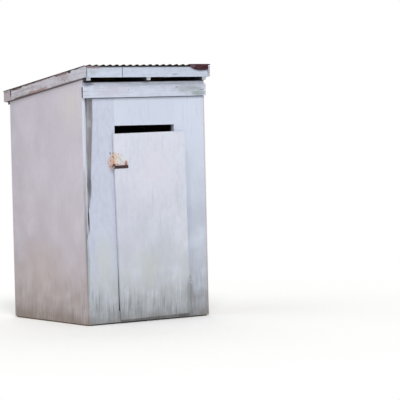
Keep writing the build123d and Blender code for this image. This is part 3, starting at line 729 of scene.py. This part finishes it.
# Wire nails under the paint, with low domed heads, driven into the posts, studs, girts and rafters behind the
# sheets and boards, and clenched through the door's battens
nails = {
    "radius": 0.0048,
    "dome": 0.72,
    "height": 0.0011,
    "sunk": 0.0006,
    "segments": 8,
    "spacing": 0.19,
    "strayBy": 0.006,
    "posts": (-0.590, 0.590),
    "postFoot": 0.14,
    "studFoot": 0.10,
    "sheetFoot": 0.12,
    "frontColumns": (-0.590, -0.345, 0.325, 0.590),
    "frontTop": 1.86,
    "bareAbove": 0.62,  # the crooked sheet misses the left post above this
    "doorCovers": (0.03, 1.63),
    "overSlot": (-0.22, -0.02, 0.18),
    "overSlotAt": 1.71,
    "outerColumns": (-0.56, 0.56),
    "backTop": 1.82,
    "girtEnds": (-0.42, 0.42),
    "girtAt": 1.0,
    "header": (-0.57, -0.335, 0.335, 0.57),
    "headerRows": (1.950, 2.015),
    "headerTilt": 0.0073,  # the header board is nailed on a little out of level
    "fascia": (-0.5905, -0.30, -0.245, 0.0, 0.5905),
    "fasciaRows": (2.106, 2.158),
    "backFasciaDrop": 0.1795,
    "rake": (-0.60, -0.30, 0.0, 0.30, 0.50, 0.62),
    "rakeRows": (0.025, 0.062),
    "battens": (0.215, 1.485),
    "battenColumns": (-0.27, -0.09, 0.09, 0.25),
    "battenRows": (-0.022, 0.022),
}


def nailHeads(name, spots, material, body):
    bm = bmesh.new()
    for point, outwards in spots:
        made = bmesh.ops.create_cone(
            bm, cap_ends=True, segments=nails["segments"], radius1=nails["radius"],
            radius2=nails["radius"] * nails["dome"], depth=nails["height"] + nails["sunk"],
        )
        shift = Vector(outwards) * (nails["height"] - nails["sunk"]) / 2
        standOn(bm, made["verts"], Vector(point) + shift, outwards)
    finishPiece(bm, name, material, body)


def rowOfPlaces(start, end, spacing=nails["spacing"]):
    count = max(1, round(abs(end - start) / spacing))
    return [start + (end - start) * i / count for i in range(count + 1)]


def wander():
    return chance.uniform(-nails["strayBy"], nails["strayBy"])


def rakeHeight(y):
    return hut["rakeFoot"] - math.tan(hut["roofPitch"]) * y


front, side = hut["frontFace"], hut["sideFace"]
wallNails = []
for x in nails["frontColumns"]:
    atPost = x in nails["posts"]
    foot = nails["postFoot"] if atPost else nails["studFoot"]
    for z in rowOfPlaces(foot, nails["frontTop"]):
        bare = x == nails["posts"][0] and z > nails["bareAbove"]
        covered = not atPost and nails["doorCovers"][0] < z < nails["doorCovers"][1]
        if not bare and not covered:
            wallNails.append(((x + wander(), front, z + wander()), (0, -1, 0)))
for x in nails["overSlot"]:
    wallNails.append(((x + wander(), front, nails["overSlotAt"] + wander()), (0, -1, 0)))
for sign in (-1, 1):
    for y in nails["outerColumns"]:
        for z in rowOfPlaces(nails["sheetFoot"], nails["frontTop"]):
            wallNails.append(((sign * side, y + wander(), z + wander()), (sign, 0, 0)))
    for y in rowOfPlaces(*nails["girtEnds"]):
        wallNails.append(((sign * side, y + wander(), nails["girtAt"] + wander()), (sign, 0, 0)))
for x in nails["outerColumns"]:
    for z in rowOfPlaces(nails["sheetFoot"], nails["backTop"]):
        wallNails.append(((x + wander(), -front, z + wander()), (0, 1, 0)))

paintedNail = steelFitting("housePaintedNail", "#BFC5D0", "#937668", 0.60)
nailHeads("wallNails", wallNails, paintedNail, "hut")

boardNails = []
for x in nails["header"]:
    for z in nails["headerRows"]:
        spot = (x + wander(), hut["headerFace"], z + nails["headerTilt"] * x + wander() / 2)
        boardNails.append((spot, (0, -1, 0)))
for x in nails["fascia"]:
    for z in nails["fasciaRows"]:
        boardNails.append(((x + wander() / 2, hut["fasciaFace"], z), (0, -1, 0)))
        backZ = z - nails["backFasciaDrop"]
        boardNails.append(((x + wander() / 2, -hut["fasciaFace"], backZ), (0, 1, 0)))
for sign in (-1, 1):
    for y in nails["rake"]:
        for up in nails["rakeRows"]:
            boardNails.append(((sign * hut["rakeFace"], y, rakeHeight(y) + up), (sign, 0, 0)))
nailHeads("boardNails", boardNails, paintedNail, "hut")

doorNails = []
for z in nails["battens"]:
    for x in nails["battenColumns"]:
        for up in nails["battenRows"]:
            doorNails.append(((x + wander(), hut["doorFace"], z + up + wander() / 2), (0, -1, 0)))
nailHeads("doorNails", doorNails, paintedNail, "door")

# Roofing nails with lead washers, on every second crest along each purlin, each from two cones: their radius,
# taper, depth and height over the sheet
roofNail = {
    "cones": ((0.011, 0.55, 0.0022, 0.0004), (0.0062, 0.6, 0.0016, 0.0020)), "segments": 10,
    "rows": (-0.615, 0.0, 0.615), "firstCrest": -0.592375, "crestPitch": 0.0677, "perRow": 10,
}
nailBm = bmesh.new()
sheets = (nodes["roof_sheet_right"], nodes["roof_sheet_left"])
roofUp = Vector((0, math.sin(hut["roofPitch"]), math.cos(hut["roofPitch"])))
for row in roofNail["rows"]:
    for count in range(roofNail["perRow"]):
        above = Vector((roofNail["firstCrest"] + count * 2 * roofNail["crestPitch"], row, 3.0))
        casts = [sheet.ray_cast(above, Vector((0, 0, -1))) for sheet in sheets]
        crest = next(point for hit, point, normal, face in casts if hit)
        for radius, taper, depth, lift in roofNail["cones"]:
            made = bmesh.ops.create_cone(
                nailBm, cap_ends=True, segments=roofNail["segments"], radius1=radius, radius2=radius * taper,
                depth=depth,
            )
            standOn(nailBm, made["verts"], crest + roofUp * lift, roofUp)
leadGrey = steelFitting("leadWasherAndNail", "#6F7072", "#6B4636", 0.42)
finishPiece(nailBm, "roofingNails", leadGrey, "hut")
print("nails driven")


# Countersunk slotted screws: a head let into the leaf, with its slot sunk between two cuts. Their holes are
# given up and across from the foot of each hinge leaf, and across and up from the hasp's pin
screws = {
    "radius": 0.0042,
    "depth": 0.0016,
    "proud": 0.0006,
    "segments": 16,
    "slot": 0.0011,
    "slotDepth": 0.0005,
    "hingeFeet": (0.250, 1.330),
    "holes": ((0.012, 0.0268), (0.0385, 0.0168), (0.065, 0.0268)),
    "wallLeafFace": -0.6115,
    "doorEdge": -0.005,
    "doorLeafMiddle": -0.6270,
    "haspHoles": ((0.014, -0.0075), (0.014, 0.0075), (0.031, -0.0075), (0.031, 0.0075)),
    "haspFace": -0.6355,
}


def slottedScrews(name, spots, material, body):
    bm = bmesh.new()
    for point, outwards, turn in spots:
        one = bmesh.new()
        bmesh.ops.create_cone(
            one, cap_ends=True, segments=screws["segments"], radius1=screws["radius"],
            radius2=screws["radius"], depth=screws["depth"],
        )
        bmesh.ops.translate(one, verts=one.verts[:], vec=(0, 0, screws["proud"] - screws["depth"] / 2))
        for offset in (-screws["slot"] / 2, screws["slot"] / 2):
            everything = one.verts[:] + one.edges[:] + one.faces[:]
            bmesh.ops.bisect_plane(one, geom=everything, plane_co=(0, offset, 0), plane_no=(0, 1, 0))
        one.normal_update()
        upward = [face for face in one.faces if face.normal.z > 0.5]
        strip = [face for face in upward if abs(face.calc_center_median().y) < screws["slot"] / 2]
        sunk = bmesh.ops.extrude_face_region(one, geom=strip)
        bmesh.ops.delete(one, geom=[face for face in strip if face.is_valid], context="FACES_ONLY")
        lowered = [vert for vert in sunk["geom"] if isinstance(vert, bmesh.types.BMVert)]
        bmesh.ops.translate(one, verts=lowered, vec=(0, 0, -screws["slotDepth"]))
        bmesh.ops.rotate(one, verts=one.verts[:], matrix=Matrix.Rotation(turn, 3, "Z"))
        standOn(one, one.verts[:], Vector(point), outwards)
        bmesh.ops.recalc_face_normals(one, faces=one.faces[:])
        head = meshFrom(one, "screwHead")
        bm.from_mesh(head)
        bpy.data.meshes.remove(head)
    finishPiece(bm, name, material, body)


hinge = joints["door_hinge"]
hingeFoot, hingeUp = Vector(hinge["pos_m"]), Vector(hinge["axis"])
hingeRight = Vector((hingeUp.z, 0, -hingeUp.x))
leafScrews, edgeScrews = [], []
for foot in screws["hingeFeet"]:
    for up, across in screws["holes"]:
        hole = hingeFoot + hingeUp * (foot + up)
        spot = hole + hingeRight * across
        leafScrews.append(((spot.x, screws["wallLeafFace"], spot.z), (0, -1, 0), chance.uniform(0, 3)))
        spot = hole + hingeRight * screws["doorEdge"]
        edgeScrews.append(((spot.x, screws["doorLeafMiddle"], spot.z), hingeRight, chance.uniform(0, 3)))
slottedScrews("hingeWallScrews", leafScrews, paintedHinge, "hut")
slottedScrews("hingeDoorScrews", edgeScrews, paintedHinge, "door")

haspPin = Vector(joints["hasp_hinge"]["pos_m"])
haspScrews = []
for across, up in screws["haspHoles"]:
    spot = haspPin + hingeRight * across + hingeUp * up
    haspScrews.append(((spot.x, screws["haspFace"], spot.z), (0, -1, 0), chance.uniform(0, 3)))
slottedScrews("haspScrews", haspScrews, rustedIron, "door")
print("fittings screwed on")


# Scraps of torn roofing and flaked scale that hang over the boards' heads, with ragged edges that run out to
# nothing at their ends. A scrap is given by its start and end, and by how far it stands up and hangs down
scraps = {
    "thickness": 0.0006,
    "thinnest": 0.0006,
    "buckle": 0.0005,
    # Start, end and hang: as the photo shows on the left rake and at the eave's left end
    "darkLeft": [
        (0.53, 0.44, 0.009), (0.41, 0.35, 0.012), (0.20, 0.10, 0.005), (-0.02, -0.12, 0.005),
        (-0.41, -0.45, 0.015), (-0.52, -0.60, 0.004),
    ],
    "pinkLeft": [(0.31, 0.24, 0.009), (0.07, 0.01, 0.005), (-0.20, -0.33, 0.014), (-0.34, -0.40, 0.012)],
    "eave": [(-0.630, -0.575, 0.010), (-0.580, -0.530, 0.006), (-0.535, -0.488, 0.008)],
    # Guessed: first, last and spacing, then the spread of each one's start, end and hang
    "right": (-0.54, 0.58, 0.16),
    "rightStart": (-0.03, 0.02),
    "rightEnd": (0.07, 0.12),
    "rightHang": (0.002, 0.007),
    "boardWidth": 0.0898,
    "rakePlane": 0.6418,
    "eavePlane": -0.6828,
    "leftLift": 0.004,
    "rightLift": 0.0078,
    "eaveLift": 0.006,
    "rakeStep": 0.009,
    "eaveStep": 0.007,
}


def tornScraps(name, spans, outwards, ragged, step, material):
    bm = bmesh.new()
    for start, end, lift, drop in spans:
        start, run = Vector(start), Vector(end) - Vector(start)
        count = max(3, int(run.length / step))
        strip = bmesh.ops.create_grid(bm, x_segments=count, y_segments=2, size=0.5)["verts"]
        above = [lift + chance.uniform(-ragged, ragged) / 2 for i in range(count + 1)]
        below = [drop + chance.uniform(-ragged, ragged) for i in range(count + 1)]
        for vert in strip:
            along = vert.co.x + 0.5
            place = min(count, round(along * count))
            ends = math.sqrt(math.sin(math.pi * (0.04 + 0.92 * along)))
            top = max(scraps["thinnest"], above[place] * ends)
            foot = max(scraps["thinnest"], below[place] * ends)
            rise = top - (0.5 - vert.co.y) * (top + foot)
            buckle = Vector(outwards) * chance.uniform(0, scraps["buckle"])
            vert.co = start + run * along + Vector((0, 0, rise)) + buckle
    bmesh.ops.recalc_face_normals(bm, faces=bm.faces[:])
    bmesh.ops.solidify(bm, geom=bm.faces[:], thickness=scraps["thickness"])
    finishPiece(bm, name, material, "hut")


tornRust = rustySheet(
    "tornRustedSheet", {"zinc": "#5F4C4B", "rust": "#4E3432", "darkRust": "#2E2022", "rustShare": 0.9}
)
pinkScale = rustySheet(
    "flakedRustScale",
    {"zinc": "#A39090", "rust": "#937A7C", "darkRust": "#5A4548", "orange": "#B09C98", "rustShare": 0.9,
     "cutEnds": "#806C6E"},
)


def rakeSpan(sign, y0, y1, lift, drop):
    ends = [(sign * scraps["rakePlane"], y, rakeHeight(y) + scraps["boardWidth"]) for y in (y0, y1)]
    return (*ends, lift, drop)


for name, where, material in (
    ("tornRakeScraps", "darkLeft", tornRust), ("flakedRakeScraps", "pinkLeft", pinkScale),
):
    spans = [rakeSpan(-1, y0, y1, scraps["leftLift"], drop) for y0, y1, drop in scraps[where]]
    tornScraps(name, spans, (-1, 0, 0), 0.004, scraps["rakeStep"], material)

spans = []
for y in rowOfPlaces(*scraps["right"]):
    y0, y1 = y + chance.uniform(*scraps["rightStart"]), y + chance.uniform(*scraps["rightEnd"])
    spans.append(rakeSpan(1, y0, y1, scraps["rightLift"], chance.uniform(*scraps["rightHang"])))
tornScraps("tornRakeScrapsRight", spans, (1, 0, 0), 0.003, scraps["rakeStep"], tornRust)

eaveHead = rakeHeight(hut["fasciaFace"]) + scraps["boardWidth"]
spans = []
for x0, x1, drop in scraps["eave"]:
    ends = [(x, scraps["eavePlane"], eaveHead) for x in (x0, x1)]
    spans.append((*ends, scraps["eaveLift"], drop))
tornScraps("flakedEaveScraps", spans, (0, -1, 0), 0.006, scraps["eaveStep"], pinkScale)
print("torn roof edges laid")


# Header board with eased edges and the split at its right end, in place of the plain one
headerLook = {
    "easedEdge": 0.0022, "splitCentre": (0.622, -0.619, 1.9755), "splitOpen": 0.0050, "splitLength": 0.075,
}


def headerWithSplit():
    bm = bmesh.new()
    bm.from_mesh(nodes["header_board"].data)
    bmesh.ops.remove_doubles(bm, verts=bm.verts[:], dist=0.00002)
    bmesh.ops.dissolve_limit(bm, angle_limit=0.01, verts=bm.verts[:], edges=bm.edges[:])
    piece = placeObject("headerBoardWorn", meshFrom(bm, "headerBoardWorn"))

    # A three-sided prism, about 1.7 of its radius wide, flattened to a sliver that opens towards the board's
    # end
    length = headerLook["splitLength"]
    wedgeBm = bmesh.new()
    bmesh.ops.create_cone(
        wedgeBm, cap_ends=True, segments=3, radius1=length, radius2=length, depth=0.06,
        matrix=Matrix.Rotation(math.radians(90), 4, "X"),
    )
    bmesh.ops.scale(wedgeBm, verts=wedgeBm.verts[:], vec=(1, 1, headerLook["splitOpen"] / (length * 1.7)))
    bmesh.ops.translate(wedgeBm, verts=wedgeBm.verts[:], vec=headerLook["splitCentre"])
    wedge = placeObject("splitWedge", meshFrom(wedgeBm, "splitWedge"))
    cut = piece.modifiers.new("split", "BOOLEAN")
    cut.operation = "DIFFERENCE"
    cut.solver = "EXACT"
    cut.object = wedge
    eased = piece.modifiers.new("easedEdges", "BEVEL")
    eased.width = headerLook["easedEdge"]
    eased.segments = 2
    eased.limit_method = "ANGLE"
    bpy.context.view_layer.update()
    finished = bpy.data.meshes.new_from_object(piece.evaluated_get(bpy.context.evaluated_depsgraph_get()))
    piece.modifiers.clear()
    piece.data = finished
    bpy.data.objects.remove(wedge)
    piece.data.materials.clear()
    piece.data.materials.append(bpy.data.materials["housePaintOn_header_board"])
    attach(piece, "hut")
    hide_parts("header_board")


headerWithSplit()
print("header board split")


# Pale floor that fades to white, and soft suns: strength, turn from the front, height and spread in degrees
studio = {
    "floorSize": 60, "floorLevel": -0.0005, "floor": "#E2E2E0", "fadeFrom": 1.6, "fadeTo": 4.5,
    "worldLight": 0.52,
    "suns": {"key": (2.00, -28, 48, 22), "fill": (0.55, -110, 35, 60), "back": (0.75, 150, 40, 60)},
}

floorBm = bmesh.new()
bmesh.ops.create_grid(floorBm, x_segments=1, y_segments=1, size=studio["floorSize"])
bmesh.ops.translate(floorBm, verts=floorBm.verts[:], vec=(0, 0, studio["floorLevel"]))
floor = placeObject("studioFloor", meshFrom(floorBm, "studioFloor"))


# Share of rays that should see white: those of the camera and of mirrors and glass
def seenRays(tree):
    camera = addNode(tree, "LightPath", {}, out="Is Camera Ray")
    path = camera.node.outputs
    mirror = addNode(tree, "Math", {0: camera, 1: path["Is Glossy Ray"]}, operation="MAXIMUM")
    return addNode(tree, "Math", {0: mirror, 1: path["Is Transmission Ray"]}, operation="MAXIMUM")


floorMaterial, floorTree, floorPlace = startMaterial(
    "paleFloor", {"Base Color": linearColour(studio["floor"]), "Roughness": 0.9}
)
distance = addNode(floorTree, "VectorMath", {0: floorPlace}, out="Value", operation="LENGTH")
fade = addNode(
    floorTree, "MapRange", {"Value": distance, "From Min": studio["fadeFrom"], "From Max": studio["fadeTo"]}
)
whiteShare = addNode(floorTree, "Math", {0: fade, 1: seenRays(floorTree)}, operation="MULTIPLY")
white = addNode(floorTree, "Emission", {"Color": (1, 1, 1, 1), "Strength": 1.0})
matt = floorTree.nodes["Principled BSDF"].outputs[0]
floorMix = addNode(floorTree, "MixShader", {0: whiteShare, 1: matt, 2: white})
floorTree.links.new(floorMix, floorTree.nodes["Material Output"].inputs["Surface"])
floor.data.materials.append(floorMaterial)

world = bpy.data.worlds.new("softStudio")
bpy.context.scene.world = world
world.use_nodes = True
worldTree = world.node_tree
ambient = worldTree.nodes["Background"]
ambient.inputs["Color"].default_value = (1, 1, 1, 1)
ambient.inputs["Strength"].default_value = studio["worldLight"]
backdrop = addNode(worldTree, "Background", {"Color": (1, 1, 1, 1), "Strength": 1.0})
worldMix = addNode(worldTree, "MixShader", {0: seenRays(worldTree), 1: ambient.outputs[0], 2: backdrop})
worldTree.links.new(worldMix, worldTree.nodes["World Output"].inputs["Surface"])


# Direction by its turn from +Y towards +X and its rise over the level, in radians
def heading(turn, rise):
    return Vector((math.sin(turn) * math.cos(rise), math.cos(turn) * math.cos(rise), math.sin(rise)))


for lampName, (strength, turn, height, spread) in studio["suns"].items():
    lamp = bpy.data.lights.new(lampName + "Light", "SUN")
    lamp.energy = strength
    lamp.angle = math.radians(spread)
    towards = heading(math.pi - math.radians(turn), math.radians(height))
    placeObject(lampName + "Light", lamp).rotation_euler = towards.to_track_quat("Z", "Y").to_euler()

# The photo's own standpoint: place in metres, turn, dip and roll in radians, and a long lens in millimetres
view = {"stand": (-9.6776, -15.1776, 1.6906), "turn": 0.6123, "dip": 0.0380, "roll": -0.0232, "lens": 184.02}
ahead = heading(view["turn"], -view["dip"])
right = Vector((math.cos(view["turn"]), -math.sin(view["turn"]), 0))
up = right.cross(ahead)
rolledRight = right * math.cos(view["roll"]) + up * math.sin(view["roll"])
rolledUp = up * math.cos(view["roll"]) - right * math.sin(view["roll"])
cameraData = bpy.data.cameras.new("camera")
cameraData.lens = view["lens"]
cameraData.clip_end = 300
camera = placeObject("camera", cameraData)
turned = Matrix((rolledRight, rolledUp, -ahead)).transposed().to_4x4()
camera.matrix_world = Matrix.Translation(view["stand"]) @ turned
bpy.context.scene.camera = camera
bpy.context.scene.view_settings.view_transform = "Standard"
print("studio and camera set")
